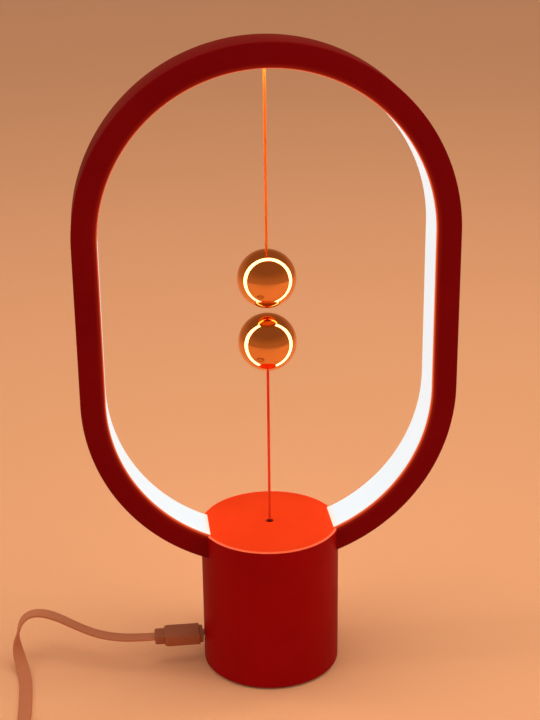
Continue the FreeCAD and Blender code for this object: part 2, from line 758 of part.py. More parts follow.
upper_knot_z = magnet_ball("upper", upper_ball_z, 1)
upper_cord = rod(cord_radius, upper_knot_z, upper_pivot - knot_reach)
save("upper_cord", upper_cord.fuse(ball(ball_knot_radius, upper_knot_z)))
lower_knot_z = magnet_ball("lower", lower_ball_z, -1)
lower_cord = rod(cord_radius, lower_pivot + knot_reach, lower_knot_z)
save("lower_cord", lower_cord.fuse(ball(ball_knot_radius, lower_knot_z)))

# Charging plug

tip_back = plug_face - 4.0
plug_half = plug_width / 2
plug_low = port_height - plug_height / 2
plug_high = port_height + plug_height / 2
relief_face = plug_face - plug_length
housing = block(relief_face, plug_face, -plug_half, plug_half, plug_low, plug_high)
back_corners = [e for e in housing.Edges if e.BoundBox.ZLength > 1 and e.BoundBox.XMax < plug_face - 1]
housing = housing.makeFillet(plug_round, back_corners)
housing = housing.cut(
    block(
        tip_back - 0.1,
        plug_face + 1,
        -tip_width / 2 - hole_gap,
        tip_width / 2 + hole_gap,
        port_height - tip_height / 2 - hole_gap,
        port_height + tip_height / 2 + hole_gap,
    )
)
collar_half = plug_width / 2 - collar_step
collar_rise = plug_height / 2 - collar_step
collar_end = plug_face + collar_length
collar_low = port_height - collar_rise
collar_high = port_height + collar_rise
collar = block(plug_face, collar_end, -collar_half, collar_half, collar_low, collar_high)
collar = collar.cut(
    block(
        plug_face - 1,
        collar_end + 1,
        -tip_width / 2 - hole_gap,
        tip_width / 2 + hole_gap,
        port_height - tip_height / 2 - hole_gap,
        port_height + tip_height / 2 + hole_gap,
    )
)
save("plug_housing", housing.fuse(collar))
relief_half = relief_width / 2
relief_low = port_height - relief_height / 2
relief_high = port_height + relief_height / 2
relief_end = relief_face - relief_length
relief = block(relief_end, relief_face, -relief_half, relief_half, relief_low, relief_high)
back_corners = [e for e in relief.Edges if e.BoundBox.ZLength > 1 and e.BoundBox.XMax < relief_face - 1]
relief = relief.makeFillet(1.4, back_corners)
save("plug_strain_relief", relief)
tip_end = plug_face + tip_length
tip_low = port_height - tip_height / 2
tip_high = port_height + tip_height / 2
tip = block(tip_back, tip_end, -tip_width / 2, tip_width / 2, tip_low, tip_high)
tip = tip.cut(
    block(
        tip_back + 2,
        tip_end + 1,
        -tip_width / 2 + sheet_wall,
        tip_width / 2 - sheet_wall,
        tip_low + sheet_wall,
        tip_high - sheet_wall,
    )
)
save("plug_tip", tip)
contacts = block(tip_back + 2, tip_end - 0.4, -2.9, 2.9, tip_low + sheet_wall, port_height - 0.1)
save("plug_contacts", contacts)

# Flat lead

turn_share = 0.45
turn_step = 22.0


def unit(vector):
    return FreeCAD.Vector(vector).normalize()


def arc_through(before, corner, after):
    """The arc that rounds a corner of the route: its start, centre line, radius, turn and setback."""
    way_in = unit(corner - before)
    way_out = unit(after - corner)
    turn = way_in.getAngle(way_out)
    shorter = min((corner - before).Length, (after - corner).Length)
    setback = turn_share * shorter
    return way_in, way_out, turn, setback, setback / math.tan(turn / 2)


def lead_stations(points, widths):
    """Places along the route's runs and arcs, each with the lead's direction and its width's direction."""
    stations = [(points[0], unit(points[1] - points[0]), widths[0])]
    length = 0.0
    reached = points[0]
    for number in range(1, len(points) - 1):
        corner = points[number]
        way_in, way_out, turn, setback, radius = arc_through(points[number - 1], corner, points[number + 1])
        print("corner", number, "turn", round(math.degrees(turn), 1), "radius", round(radius, 1))
        start = corner - way_in * setback
        length += (start - reached).Length + radius * turn
        inward = unit(way_out - way_in * way_in.dot(way_out))
        centre = start + inward * radius
        steps = max(2, math.ceil(math.degrees(turn) / turn_step))
        for step in range(steps + 1):
            angle = turn * step / steps
            place = centre - inward * (radius * math.cos(angle)) + way_in * (radius * math.sin(angle))
            heading = way_in * math.cos(angle) + inward * math.sin(angle)
            share = (step / steps - 0.5) * 2 * turn_share
            other = widths[number + 1] if share > 0 else widths[number - 1]
            width = widths[number] * (1 - abs(share)) + other * abs(share)
            stations.append((place, heading, width))
        reached = corner + way_out * setback
    length += (points[-1] - reached).Length
    stations.append((points[-1], unit(points[-1] - points[-2]), widths[-1]))
    return stations, length


def flat_lead(name, route):
    points = [FreeCAD.Vector(*place) for place, width in route]
    widths = [unit(FreeCAD.Vector(*width)) for place, width in route]
    stations, length = lead_stations(points, widths)
    sections = []
    for place, heading, width in stations:
        across = unit(width - heading * heading.dot(width)) * (lead_width / 2)
        through = unit(heading.cross(across)) * (lead_thickness / 2)
        corners = [
            place + across + through,
            place + across - through,
            place - across - through,
            place - across + through,
        ]
        sections.append(Part.makePolygon(corners + [corners[0]]))
    solid = None
    first = 0
    last = len(sections) - 1
    for number in range(1, last + 1):
        turned = stations[number][1].dot(stations[first][1]) < 0.3
        if turned or number == last:
            piece = Part.makeLoft(sections[first:number + 1], True, True)
            solid = piece if solid is None else solid.fuse(piece)
            first = number
    share = solid.Volume / (lead_width * lead_thickness * length)
    print(name, "length", round(length, 1), "volume share", round(share, 3), solid.isValid())
    save(name, solid)
    return length


visible_length = flat_lead("lead", lead_route)
coil_inner = coil_mean_radius - 7.5
inner_turn = coil_inner + lead_thickness / 2

far_back = coil_centre_x - far_plug_reach
far_front = far_back + far_plug_length
far_tip = far_front + far_shell_length
far_y = coil_centre_y - far_plug_offset
far_z = far_plug_height / 2
tail_route = [
    ((coil_centre_x - 28.4, coil_centre_y + 16.4, 3.8), (0.0, 0.0, -1.0)),
    ((coil_centre_x - 31.7, coil_centre_y + 8.2, 3.8), (0.0, 0.0, -1.0)),
    ((coil_centre_x - 30.6, coil_centre_y - 0.4, 3.9), (0.25, 0.05, -1.0)),
    ((coil_centre_x - 25.5, coil_centre_y - 7.3, 4.1), (0.4, 0.35, -0.8)),
    ((coil_centre_x - 17.6, far_y, far_z), (0.2, 0.85, -0.4)),
    ((far_back, far_y, far_z), (0.0, 1.0, 0.0)),
]
tail_length = flat_lead("lead_tail", tail_route)
turns = (lead_length - visible_length - tail_length) / (2 * math.pi * coil_mean_radius)
coil_half_band = (turns * coil_pitch + lead_thickness) / 2
coil_outer = coil_mean_radius + coil_half_band
coil_inner = coil_mean_radius - coil_half_band
print("coil turns", round(turns, 2), "inner", round(coil_inner, 1), "outer", round(coil_outer, 1))
coil = rod(coil_outer, 0, lead_width, coil_centre_x, coil_centre_y)
coil = coil.cut(rod(coil_inner, -1, lead_width + 1, coil_centre_x, coil_centre_y))
save("lead_coil", coil)

# Plug on the far end, lying inside the coil

far_half = far_plug_width / 2
far_housing = block(far_back, far_front, far_y - far_half, far_y + far_half, 0, far_plug_height)
back_corners = [e for e in far_housing.Edges if e.BoundBox.ZLength > 1 and e.BoundBox.XMax < far_front - 1]
far_housing = far_housing.makeFillet(2.2, back_corners)
shell_half = far_shell_width / 2
shell_low = far_z - far_shell_height / 2
shell_high = far_z + far_shell_height / 2
far_housing = far_housing.cut(
    block(
        far_front - 3.1,
        far_front + 1,
        far_y - shell_half - hole_gap,
        far_y + shell_half + hole_gap,
        shell_low - hole_gap,
        shell_high + hole_gap,
    )
)
save("far_plug_housing", far_housing)
inside_half = shell_half - sheet_wall
inside_low = shell_low + sheet_wall
inside_high = shell_high - sheet_wall
far_shell = block(far_front - 3, far_tip, far_y - shell_half, far_y + shell_half, shell_low, shell_high)
far_shell = far_shell.cut(
    block(far_front - 1, far_tip + 1, far_y - inside_half, far_y + inside_half, inside_low, inside_high)
)
for row in (-1, 1):
    spot = far_y + row * 2.9
    window = block(far_tip - 6.4, far_tip - 4.0, spot - 1.1, spot + 1.1, shell_high - 1, shell_high + 1)
    far_shell = far_shell.cut(window)
save("far_plug_shell", far_shell)
insert_back = far_front - 1
insert_tip = far_tip - 0.4
far_insert = block(insert_back, insert_tip, far_y - inside_half, far_y + inside_half, inside_low, far_z - 0.1)
save("far_plug_insert", far_insert)
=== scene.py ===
import json
import math

import bmesh
import bpy
from mathutils import Matrix, Vector


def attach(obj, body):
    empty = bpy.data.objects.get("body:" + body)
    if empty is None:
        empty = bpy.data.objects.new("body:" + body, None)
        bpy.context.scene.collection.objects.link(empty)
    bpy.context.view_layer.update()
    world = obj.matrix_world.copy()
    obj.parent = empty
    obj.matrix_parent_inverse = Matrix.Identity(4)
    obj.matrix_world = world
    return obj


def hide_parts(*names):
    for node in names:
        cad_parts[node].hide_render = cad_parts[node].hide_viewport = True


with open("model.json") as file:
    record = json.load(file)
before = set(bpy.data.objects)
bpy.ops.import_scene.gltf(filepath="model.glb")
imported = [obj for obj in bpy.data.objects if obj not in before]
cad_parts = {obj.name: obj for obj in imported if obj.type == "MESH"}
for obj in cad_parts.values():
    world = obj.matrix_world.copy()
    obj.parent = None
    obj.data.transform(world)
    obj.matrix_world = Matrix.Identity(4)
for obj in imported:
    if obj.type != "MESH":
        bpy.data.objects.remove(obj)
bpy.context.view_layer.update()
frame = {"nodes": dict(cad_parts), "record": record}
nodes = frame["nodes"]
scene = bpy.context.scene
scene.view_settings.view_transform = "Standard"

# Camera. It stands in front of the lamp, a little to the left and higher than the ring's crown. It is
# turned to the right by its yaw and down by its pitch, and its roll leans it by under a degree.

camera_place = (-0.08526, -0.7603, 0.47549)
camera_yaw, camera_pitch, camera_roll = 0.11336, 0.35837, -0.01151
ahead = Vector((
    math.sin(camera_yaw) * math.cos(camera_pitch),
    math.cos(camera_yaw) * math.cos(camera_pitch),
    -math.sin(camera_pitch),
))
aside = Vector((math.cos(camera_yaw), -math.sin(camera_yaw), 0))
above = aside.cross(ahead)
rolled_aside = math.cos(camera_roll) * aside + math.sin(camera_roll) * above
rolled_above = -math.sin(camera_roll) * aside + math.cos(camera_roll) * above
lens = bpy.data.cameras.new("camera")
lens.sensor_fit = "AUTO"
lens.sensor_width = 36.0
lens.lens = 73.053
camera = bpy.data.objects.new("camera", lens)
camera.matrix_world = Matrix((rolled_aside, rolled_above, -ahead)).transposed().to_4x4()
camera.location = camera_place
scene.collection.objects.link(camera)
scene.camera = camera

# Floor and studio light. A pale seamless sheet of paper, one wide softbox overhead, a weaker one on
# either side, and a room in the paper's colour that darkens overhead.


def feed(tree, socket, value):
    """Gives a node's input a number, a colour or the socket that feeds it."""
    if isinstance(value, bpy.types.NodeSocket):
        tree.links.new(value, socket)
    else:
        socket.default_value = value


def put(tree, kind, inputs=None, **settings):
    """Adds a node with its settings and its inputs, which are known by name or by number."""
    made = tree.nodes.new(kind)
    for name, value in settings.items():
        setattr(made, name, value)
    for name, value in (inputs or {}).items():
        feed(tree, made.inputs[name], value)
    return made


def calc(tree, operation, *values):
    """The result of a Math node."""
    return put(tree, "ShaderNodeMath", dict(enumerate(values)), operation=operation).outputs[0]


def span(tree, value, start, end, low=0.0, high=1.0):
    """Brings a value from one range smoothly to another, and holds it at that range's ends."""
    return put(
        tree,
        "ShaderNodeMapRange",
        {"Value": value, "From Min": start, "From Max": end, "To Min": low, "To Max": high},
        interpolation_type="SMOOTHSTEP",
    ).outputs["Result"]


def blend_colours(tree, share, first, second):
    """A colour that goes from the first to the second as the share goes from 0 to 1."""
    made = put(tree, "ShaderNodeMix", data_type="RGBA", clamp_factor=True)
    feed(tree, made.inputs["Factor"], share)
    colours = [s for s in made.inputs if s.type == "RGBA"]
    for socket, colour in zip(colours, (first, second)):
        feed(tree, socket, colour if isinstance(colour, bpy.types.NodeSocket) else (*colour, 1.0))
    return [s for s in made.outputs if s.type == "RGBA"][0]


def shade(red, green, blue):
    """The linear colour that shows as these screen values, from 0 to 255."""
    parts = (red / 255, green / 255, blue / 255)
    return tuple(p / 12.92 if p <= 0.04045 else ((p + 0.055) / 1.055) ** 2.4 for p in parts)


def dimmed(colour, share):
    """A colour at this share of its strength."""
    return tuple(share * part for part in colour)


def noise(tree, where, scale, detail):
    """A noise from 0 to 1 over these coordinates."""
    inputs = {"Vector": where, "Scale": scale, "Detail": detail}
    return put(tree, "ShaderNodeTexNoise", inputs).outputs["Fac"]


def place_in(tree, coordinates="Object"):
    """The X, Y and Z of the shaded point in these coordinates."""
    where = put(tree, "ShaderNodeTexCoord").outputs[coordinates]
    return put(tree, "ShaderNodeSeparateXYZ", {"Vector": where}).outputs


def new_material(name):
    """A new material, its node tree and its Principled shader."""
    material = bpy.data.materials.new(name)
    material.use_nodes = True
    return material, material.node_tree, material.node_tree.nodes["Principled BSDF"]


paper = shade(242, 168, 118)
reach = 9.0
floor_corners = [(-reach, -reach, 0), (reach, -reach, 0), (reach, reach, 0), (-reach, reach, 0)]
floor_mesh = bpy.data.meshes.new("floor")
floor_mesh.from_pydata(floor_corners, [], [(0, 1, 2, 3)])
floor = bpy.data.objects.new("floor", floor_mesh)
scene.collection.objects.link(floor)
floor_finish, tree, shader = new_material("seamless paper")
mottle = noise(tree, put(tree, "ShaderNodeTexCoord").outputs["Object"], 3.0, 3.0)
feed(tree, shader.inputs["Base Color"], blend_colours(tree, mottle, paper, dimmed(paper, 0.96)))
shader.inputs["Roughness"].default_value = 0.9
shader.inputs["Specular IOR Level"].default_value = 0.1
floor_mesh.materials.append(floor_finish)

room = bpy.data.worlds.new("studio")
scene.world = room
room.use_nodes = True
tree = room.node_tree
tree.nodes.clear()
overhead = span(tree, place_in(tree, "Generated")["Z"], 0.0, 0.6)
backdrop = blend_colours(tree, overhead, dimmed(paper, 0.5), dimmed(paper, 0.3))
path = put(tree, "ShaderNodeLightPath")
plain = put(tree, "ShaderNodeBackground", {"Color": (1.0, 0.975, 0.95, 1.0), "Strength": 0.52})
seen = put(tree, "ShaderNodeBackground", {"Color": backdrop})
direct = calc(tree, "MAXIMUM", path.outputs["Is Camera Ray"], path.outputs["Is Transmission Ray"])
direct = calc(tree, "MAXIMUM", direct, path.outputs["Is Glossy Ray"])
surface = put(tree, "ShaderNodeMixShader", {0: direct, 1: plain.outputs[0], 2: seen.outputs[0]})
put(tree, "ShaderNodeOutputWorld", {"Surface": surface.outputs[0]})


def softbox(name, place, target, side, power, colour):
    """A square area lamp that points at a target and doesn't show in metal."""
    lamp = bpy.data.lights.new(name, "AREA")
    lamp.shape = "RECTANGLE"
    lamp.size = side
    lamp.size_y = side
    lamp.energy = power
    lamp.color = colour
    holder = bpy.data.objects.new(name, lamp)
    holder.location = place
    holder.rotation_euler = (Vector(target) - Vector(place)).to_track_quat("-Z", "Y").to_euler()
    holder.visible_glossy = False
    scene.collection.objects.link(holder)


softbox(
    "softbox_overhead",
    place=(0.15, 0.1, 1.5),
    target=(0.0, 0.0, 0.15),
    side=1.3,
    power=8.8,
    colour=(1.0, 0.97, 0.93),
)
for name, across, power in (("softbox_left", -1.3, 3.4), ("softbox_right", 1.3, 4.6)):
    softbox(
        name,
        place=(across, -0.6, 0.8),
        target=(0.0, 0.0, 0.1),
        side=0.9,
        power=power,
        colour=(1.0, 0.96, 0.92),
    )

# Charging plug. A small moulded grip with a narrower collar before the metal tip, and a short step
# where the flat lead leaves it, both in soft rubber.


def new_group(tree_type, name, inputs, outputs):
    """A node group, its input node and its output node. An input is a label, a kind of socket and a
    value or None, and an output is a label and a kind."""
    group = bpy.data.node_groups.new(name, tree_type)
    for label, kind, value in inputs:
        socket = group.interface.new_socket(label, in_out="INPUT", socket_type="NodeSocket" + kind)
        if value is not None:
            socket.default_value = value
    for label, kind in outputs:
        group.interface.new_socket(label, in_out="OUTPUT", socket_type="NodeSocket" + kind)
    return group, put(group, "NodeGroupInput"), put(group, "NodeGroupOutput")


# Moulded grain: the fine pebble of a moulding tool, and a slow uneven tone.
moulded_grain, given, result = new_group(
    "ShaderNodeTree",
    "moulded_grain",
    [("Grain Scale", "Float", 2600.0), ("Tone Scale", "Float", 22.0)],
    [("Height", "Float"), ("Tone", "Float")],
)
where = put(moulded_grain, "ShaderNodeTexCoord").outputs["Object"]
pebble = noise(moulded_grain, where, given.outputs["Grain Scale"], 2.0)
cloud = noise(moulded_grain, where, given.outputs["Tone Scale"], 4.0)
feed(moulded_grain, result.inputs["Height"], pebble)
feed(moulded_grain, result.inputs["Tone"], span(moulded_grain, cloud, 0.3, 0.7))


def moulded(name, light, dark, roughness, grain=2600.0, depth=0.00001, shine=0.3):
    """A moulded plastic or rubber: two near shades over a fine grain."""
    material, tree, shader = new_material(name)
    texture = put(tree, "ShaderNodeGroup", {"Grain Scale": grain}, node_tree=moulded_grain).outputs
    feed(tree, shader.inputs["Base Color"], blend_colours(tree, texture["Tone"], light, dark))
    uneven = span(tree, texture["Tone"], 0.0, 1.0, roughness - 0.03, roughness + 0.03)
    feed(tree, shader.inputs["Roughness"], uneven)
    bump = put(tree, "ShaderNodeBump", {"Height": texture["Height"], "Strength": 0.4, "Distance": depth})
    feed(tree, shader.inputs["Normal"], bump.outputs["Normal"])
    shader.inputs["Specular IOR Level"].default_value = shine
    return material


def rounded_block(low, high, corner, edge, back_only=True):
    """A moulded block between two corners. Its upright edges, or only those at its low X end, are
    rounded by corner, and all the others by edge."""
    shape = bmesh.new()
    bmesh.ops.create_cube(shape, size=1.0)
    low, high = Vector(low), Vector(high)
    for vertex in shape.verts:
        share = vertex.co + Vector((0.5, 0.5, 0.5))
        vertex.co = Vector(low[axis] + share[axis] * (high[axis] - low[axis]) for axis in range(3))
    middle = (low.x + high.x) / 2
    upright = []
    for side in shape.edges:
        start, end = side.verts[0].co, side.verts[1].co
        if abs(start.z - end.z) > 1e-6 and (start.x < middle or not back_only):
            upright.append(side)
    bmesh.ops.bevel(shape, geom=upright, offset=corner, segments=6, profile=0.5, affect="EDGES")
    sharp_from = 0.7
    sharp = [side for side in shape.edges if side.calc_face_angle(0.0) > sharp_from]
    bmesh.ops.bevel(shape, geom=sharp, offset=edge, segments=3, profile=0.5, affect="EDGES")
    bmesh.ops.recalc_face_normals(shape, faces=shape.faces)
    # The bevel lists its faces in another order each time, so they are sorted.
    shape.verts.index_update()
    corners = [vertex.co.copy() for vertex in shape.verts]
    faces = sorted([vertex.index for vertex in face.verts] for face in shape.faces)
    shape.free()
    mesh = bpy.data.meshes.new("block")
    mesh.from_pydata(corners, [], faces)
    return mesh


def fit_piece(name, mesh, finish, body, slot, *replaced):
    """Makes a finished mesh a piece of the lamp, smooth but for its sharp edges. A mesh that already
    has its material is given no finish."""
    mesh.name = name
    mesh.shade_smooth()
    mesh.set_sharp_from_angle(angle=math.radians(38))
    if finish:
        mesh.materials.clear()
        mesh.materials.append(finish)
    piece = bpy.data.objects.new(name, mesh)
    scene.collection.objects.link(piece)
    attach(piece, body)
    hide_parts(*replaced)
    return piece


dressed = set()


def dress(finish, *names):
    """Gives CAD nodes their material, and notes that they have it."""
    for name in names:
        dressed.add(name)
        for slot in nodes[name].material_slots:
            slot.material = finish


def joined(*meshes):
    """One mesh of several."""
    shape = bmesh.new()
    for mesh in meshes:
        shape.from_mesh(mesh)
    whole = bpy.data.meshes.new("joined")
    shape.to_mesh(whole)
    shape.free()
    return whole


plug_rubber = moulded("plug_rubber", shade(168, 88, 53), shade(156, 80, 47), 0.5, 3000.0, shine=0.2)
lead_height = 0.0169
plug_face = -0.0429
plug_back = -0.0640
relief_back = -0.0696
overlap = 0.0006
grip_half_width, grip_half_height = 0.00725, 0.0033
collar_half_width, collar_half_height, collar_reach = 0.00635, 0.0024, 0.002
relief_half_width, relief_half_height = 0.00515, 0.0026
grip = rounded_block(
    (plug_back, -grip_half_width, lead_height - grip_half_height),
    (plug_face, grip_half_width, lead_height + grip_half_height),
    corner=0.0024,
    edge=0.0007,
)
collar = rounded_block(
    (plug_face - overlap, -collar_half_width, lead_height - collar_half_height),
    (plug_face + collar_reach, collar_half_width, lead_height + collar_half_height),
    corner=0.0008,
    edge=0.0004,
    back_only=False,
)
plug_grip = fit_piece(
    "plug_grip", joined(grip, collar), plug_rubber, "usb_cable", "lead_rubber", "plug_housing"
)
relief = rounded_block(
    (relief_back, -relief_half_width, lead_height - relief_half_height),
    (plug_back + overlap, relief_half_width, lead_height + relief_half_height),
    corner=0.0014,
    edge=0.0005,
)
relief_rubber = moulded(
    "relief_rubber", shade(166, 88, 54), shade(150, 78, 46), 0.5, 3000.0, shine=0.2
)
plug_relief = fit_piece(
    "plug_relief", relief, relief_rubber, "usb_cable", "lead_rubber", "plug_strain_relief"
)


# Plated metal: drawn or stamped, with fine scratches along the object's own directions.
plated_marks, given, result = new_group(
    "ShaderNodeTree",
    "plated_marks",
    [("Scratch Scale", "Float", 900.0)],
    [("Height", "Float"), ("Tone", "Float")],
)
where = put(plated_marks, "ShaderNodeTexCoord").outputs["Object"]
drawn_out = put(plated_marks, "ShaderNodeMapping", {"Vector": where, "Scale": (1.0, 0.12, 0.6)})
scratch = noise(plated_marks, drawn_out.outputs["Vector"], given.outputs["Scratch Scale"], 3.0)
stain = noise(plated_marks, where, 90.0, 3.0)
feed(plated_marks, result.inputs["Height"], scratch)
feed(plated_marks, result.inputs["Tone"], span(plated_marks, stain, 0.3, 0.7))


def plated(name, light, dark, roughness, scratches=900.0, depth=0.000004):
    """A bare or plated metal: two near shades with fine marks."""
    material, tree, shader = new_material(name)
    shader.inputs["Metallic"].default_value = 1.0
    texture = put(tree, "ShaderNodeGroup", {"Scratch Scale": scratches}, node_tree=plated_marks).outputs
    feed(tree, shader.inputs["Base Color"], blend_colours(tree, texture["Tone"], light, dark))
    uneven = span(tree, texture["Height"], 0.2, 0.8, roughness * 0.8, roughness * 1.25)
    feed(tree, shader.inputs["Roughness"], uneven)
    bump = put(tree, "ShaderNodeBump", {"Height": texture["Height"], "Strength": 0.3, "Distance": depth})
    feed(tree, shader.inputs["Normal"], bump.outputs["Normal"])
    return material


nickel = plated("nickel_steel", (0.52, 0.45, 0.39), (0.44, 0.38, 0.33), 0.3)
black = moulded("black_plastic", (0.035, 0.035, 0.037), (0.025, 0.025, 0.027), 0.5)
dress(nickel, "plug_tip")

# Plug on the lead's far end. A larger moulded grip over a stamped nickel shell with two latch holes,
# and a black insert inside the shell.

far_back, far_front = -0.1116, -0.0926
far_y, far_z = -0.129, 0.0042
far_half_width = 0.0078
far_grip_mesh = rounded_block(
    (far_back, far_y - far_half_width, 0.0),
    (far_front, far_y + far_half_width, 2 * far_z),
    corner=0.0022,
    edge=0.0008,
)
far_rubber = moulded(
    "far_plug_rubber", shade(178, 96, 60), shade(168, 88, 54), 0.5, 3000.0, shine=0.2
)
far_grip = fit_piece(
    "far_plug_grip", far_grip_mesh, far_rubber, "usb_cable", "lead_rubber", "far_plug_housing"
)
dress(nickel, "far_plug_shell")
dress(black, "far_plug_insert")

# Flat lead. A soft flat cable 7.5 mm wide and 1.6 mm thick, moulded in one colour. It leaves the plug
# level, folds over in a hump, comes down to lie flat and is put away standing on edge in a coil.

lead_half_width = 0.00375
lead_half_thickness = 0.0008
lead_corner = 0.0006

# Each point of the lead's spline has the way that the lead's width faces there.
lead_route = [
    ((-0.0632, 0.0000, 0.0169), (0.0, 1.0, 0.0)),
    ((-0.0805, 0.0000, 0.0169), (0.0, 1.0, 0.0)),
    ((-0.0915, 0.0020, 0.0169), (0.0, 1.0, 0.0)),
    ((-0.1030, 0.0065, 0.0172), (0.0, 1.0, 0.0)),
    ((-0.1150, 0.0130, 0.0196), (0.0, 1.0, 0.0)),
    ((-0.1275, 0.0192, 0.0238), (0.0, 1.0, 0.1)),
    ((-0.1368, 0.0222, 0.0257), (0.0, 1.0, 0.1)),
    ((-0.1440, 0.0218, 0.0254), (0.0, 1.0, 0.0)),
    ((-0.1486, 0.0189, 0.0226), (0.0, 1.0, 0.0)),
    ((-0.1507, 0.0146, 0.0177), (0.0, 1.0, 0.0)),
    ((-0.1514, 0.0096, 0.0120), (0.4, 0.9, 0.0)),
    ((-0.1500, 0.0040, 0.0062), (0.8, 0.6, 0.0)),
    ((-0.1476, -0.0036, 0.0016), (0.95, 0.3, 0.0)),
    ((-0.1462, -0.0140, 0.0008), (1.0, 0.0, 0.0)),
    ((-0.1456, -0.0280, 0.0008), (1.0, 0.0, 0.0)),
    ((-0.1455, -0.0440, 0.0008), (1.0, 0.0, 0.0)),
    ((-0.1458, -0.0610, 0.0019), (0.95, 0.0, 0.25)),
    ((-0.1474, -0.0790, 0.0039), (0.6, 0.0, 0.8)),
    ((-0.1487, -0.0955, 0.0040), (0.0, 0.0, 1.0)),
    ((-0.1489, -0.1120, 0.0040), (0.0, 0.0, 1.0)),
]
coil_x, coil_y = -0.1026, -0.118
coil_start_radius, coil_pitch = 0.0463, 0.00275
coil_height = 0.0038
coil_points_per_turn, coil_points = 16, 79
turn_step = 2 * math.pi / coil_points_per_turn
spline_shortfall = math.cos(turn_step / 2)
for number in range(coil_points):
    angle = math.pi + turn_step * number
    radius = (coil_start_radius - coil_pitch * number / coil_points_per_turn) / spline_shortfall
    place = (coil_x + radius * math.cos(angle), coil_y + radius * math.sin(angle), coil_height)
    lead_route.append((place, (0.0, 0.0, 1.0)))
lead_route += [
    ((coil_x - 0.0284, coil_y + 0.0164, coil_height), (0.0, 0.0, 1.0)),
    ((coil_x - 0.0317, coil_y + 0.0082, coil_height), (0.0, 0.0, 1.0)),
    ((coil_x - 0.0306, coil_y - 0.0004, 0.0039), (-0.25, -0.05, 1.0)),
    ((coil_x - 0.0255, coil_y - 0.0073, 0.0041), (-0.4, -0.35, 0.8)),
    ((coil_x - 0.0176, far_y, far_z), (-0.2, -0.85, 0.4)),
    ((far_back, far_y, far_z), (0.0, -1.0, 0.0)),
]


def smooth_line(points, steps):
    """The points of one smooth open spline with these control points."""
    curve = bpy.data.curves.new("route", "CURVE")
    curve.dimensions = "3D"
    curve.resolution_u = steps
    spline = curve.splines.new("NURBS")
    spline.points.add(len(points) - 1)
    for control, place in zip(spline.points, points):
        control.co = (*place, 1.0)
    spline.order_u = 3
    spline.use_endpoint_u = True
    holder = bpy.data.objects.new("route", curve)
    mesh = bpy.data.meshes.new_from_object(holder)
    line = [vertex.co.copy() for vertex in mesh.vertices]
    bpy.data.objects.remove(holder)
    bpy.data.curves.remove(curve)
    bpy.data.meshes.remove(mesh)
    return line


def flat_section():
    """The flat lead's rounded outline, as shares of its width's and its thickness's directions."""
    outline = []
    corner_steps = 4
    for quarter, (side_x, side_y) in enumerate(((1, 1), (-1, 1), (-1, -1), (1, -1))):
        for step in range(corner_steps + 1):
            angle = (quarter + step / corner_steps) * math.pi / 2
            across = side_x * (lead_half_width - lead_corner) + lead_corner * math.cos(angle)
            through = side_y * (lead_half_thickness - lead_corner) + lead_corner * math.sin(angle)
            outline.append((across, through))
    return outline


def face_outwards(mesh):
    """Turns a closed mesh's faces outwards."""
    shape = bmesh.new()
    shape.from_mesh(mesh)
    bmesh.ops.recalc_face_normals(shape, faces=shape.faces)
    shape.to_mesh(mesh)
    shape.free()


steps_per_point = 10
edge_offset = 0.004
edge_route = [Vector(place) + edge_offset * Vector(width).normalized() for place, width in lead_route]
lead_line = smooth_line([place for place, width in lead_route], steps_per_point)
lead_edge = smooth_line(edge_route, steps_per_point)
outline = flat_section()
corners = []
for number, place in enumerate(lead_line):
    before = lead_line[max(number - 1, 0)]
    after = lead_line[min(number + 1, len(lead_line) - 1)]
    heading = (after - before).normalized()
    width = lead_edge[number] - place
    width = (width - heading * width.dot(heading)).normalized()
    through = heading.cross(width)
    for across, depth in outline:
        corners.append(place + across * width + depth * through)
count = len(outline)
faces = []
for ring in range(len(lead_line) - 1):
    for number in range(count):
        following = (number + 1) % count
        faces.append((
            ring * count + number,
            ring * count + following,
            (ring + 1) * count + following,
            (ring + 1) * count + number,
        ))
faces.append(tuple(reversed(range(count))))
faces.append(tuple(range((len(lead_line) - 1) * count, len(lead_line) * count)))
lead_mesh = bpy.data.meshes.new("lead")
lead_mesh.from_pydata([tuple(corner) for corner in corners], [], faces)
face_outwards(lead_mesh)
lead_rubber = moulded("lead_rubber", shade(200, 116, 74), shade(190, 107, 66), 0.45, 1800.0, shine=0.2)
flat_lead = fit_piece(
    "flat_lead", lead_mesh, lead_rubber, "usb_cable", "lead_rubber", "lead", "lead_coil", "lead_tail"
)

# Ring. One moulded C in satin red, 29 mm deep, whose open ends stand in the base. Its inner side is a
# stepped channel for the light strip. The strip's light showing through the channel's thin lips is
# painted on as a glow: faint on the faces next to the lips, full on the lips.

ring_radius = 0.105
ring_straight = 0.0893
ring_low = 0.1726
ring_high = ring_low + ring_straight
ring_depth = 0.0293
ring_width = 0.0137
ring_web = 0.0036
ring_edge = 0.0009
channel_depth = 0.012
channel_half = 0.01335
shoulder_half = 0.012
ring_gap_half = 0.024
ring_end_angle = math.asin(ring_gap_half / ring_radius)
ring_steps = 320


def end_tree(tree, result, geometry, material):
    """Ends a geometry tree with Realize Instances and Set Material."""
    real = put(tree, "GeometryNodeRealizeInstances", {"Geometry": geometry}).outputs[0]
    finished = put(tree, "GeometryNodeSetMaterial", {"Geometry": real, "Material": material})
    feed(tree, result.inputs["Geometry"], finished.outputs[0])


def grown(tree, start, sizes):
    """The plain mesh that a geometry tree makes from a start mesh and its named inputs."""
    holder = bpy.data.objects.new("maker", start)
    scene.collection.objects.link(holder)
    modifier = holder.modifiers.new("maker", "NODES")
    modifier.node_group = tree
    for item in tree.interface.items_tree:
        if item.in_out == "INPUT" and item.name in sizes:
            modifier[item.identifier] = sizes[item.name]
    evaluated = holder.evaluated_get(bpy.context.evaluated_depsgraph_get())
    mesh = bpy.data.meshes.new_from_object(evaluated)
    holder.modifiers.remove(modifier)
    bpy.data.objects.remove(holder)
    face_outwards(mesh)
    return mesh


